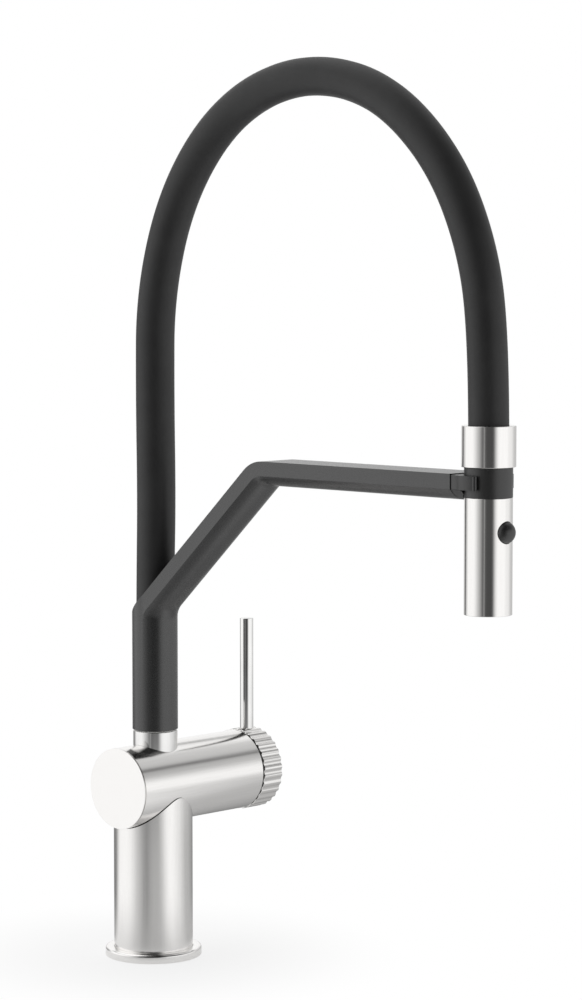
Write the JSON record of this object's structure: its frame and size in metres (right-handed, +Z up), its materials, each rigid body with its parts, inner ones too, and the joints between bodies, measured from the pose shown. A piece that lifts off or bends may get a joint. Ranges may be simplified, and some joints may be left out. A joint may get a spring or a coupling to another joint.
{
  "type": "kitchen faucet",
  "caption": "Semi-professional kitchen faucet: side-lever mixing barrel, swivelling arm with a clip, and a spray handset on an arched black hose.",
  "frame": {"origin": "centre of the round base on the worktop", "axes": "+Z up along the column, +X along the mixing barrel towards the knob and lever, spout to -Y over the sink"},
  "size_m": [0.1094, 0.2932, 0.5045],
  "materials": {
    "brushed_steel": "satin brushed",
    "polished_steel": "polished",
    "black_coating": "matt black coating",
    "black_plastic": "matt black",
    "black_silicone": "satin black silicone",
    "inner_hose": "grey rubber",
    "brass": "turned brass",
    "steel_small_parts": "bright steel",
    "white_plastic": "moulded",
    "grey_plastic": "moulded",
    "seal_rubber": "black rubber",
    "nozzle_silicone": "soft grey silicone"
  },
  "bodies": {
    "base": {"deck_seal": "seal_rubber", "base_flange": "brushed_steel", "column": "brushed_steel", "inlet_core": "brass", "inlet_seals": "seal_rubber", "mixing_barrel": "brushed_steel", "waterway_block": "brass", "end_cap": "brushed_steel", "end_cap_seal": "seal_rubber", "cartridge": "white_plastic", "cartridge_seals": "seal_rubber", "cartridge_nut": "brass", "spout_collar": "polished_steel", "outlet_spigot": "brass", "spigot_seals": "seal_rubber", "glide_ring": "white_plastic"},
    "knob": {"knob": "brushed_steel", "cartridge_spindle": "brass", "knob_grub_screw": "steel_small_parts", "lever_rod": "polished_steel"},
    "spout": {"support_arm": "black_coating", "spout_hub": "brass", "swivel_bush": "white_plastic", "hub_screw": "steel_small_parts", "holder_clip": "black_plastic", "clip_screw": "steel_small_parts", "hose_cover": "black_silicone", "water_hose": "inner_hose", "lower_ferrule": "steel_small_parts"},
    "hose_end": {"handset_sleeve": "brushed_steel", "upper_ferrule": "brass", "neck_seal": "seal_rubber", "neck_clip": "steel_small_parts"},
    "handset": {"docking_band": "black_plastic", "spray_shell": "brushed_steel", "spray_core": "grey_plastic", "check_valve": "white_plastic", "spray_face": "grey_plastic", "nozzle_mat": "nozzle_silicone", "aerator": "grey_plastic", "button_spring": "steel_small_parts"},
    "button": {"spray_button": "black_plastic", "diverter_spool": "grey_plastic"}
  },
  "joints": [
    {"name": "spout_swivel", "type": "hinge", "parent": "base", "child": "spout", "pos_m": [0.0019, 0, 0.14], "axis": [0, 0, 1], "continuous": true},
    {"name": "lever_turn", "type": "hinge", "parent": "base", "child": "knob", "pos_m": [0.0755, 0, 0.0988], "axis": [1, 0, 0], "range_deg": [0, 100]},
    {"name": "handset_pull", "type": "slide", "parent": "spout", "child": "hose_end", "axis": [0, -1, 0], "range_m": [0, 0.06], "deforming": ["hose_cover", "water_hose"]},
    {"name": "handset_turn", "type": "hinge", "parent": "hose_end", "child": "handset", "pos_m": [0.0019, -0.2485, 0.285], "axis": [0, 0, 1], "continuous": true},
    {"name": "button_press", "type": "slide", "parent": "handset", "child": "button", "axis": [0, 1, 0], "range_m": [0, 0.002], "stiffness_N_per_m": 600, "springref_m": -0.002, "deforming": ["button_spring"]}
  ]
}
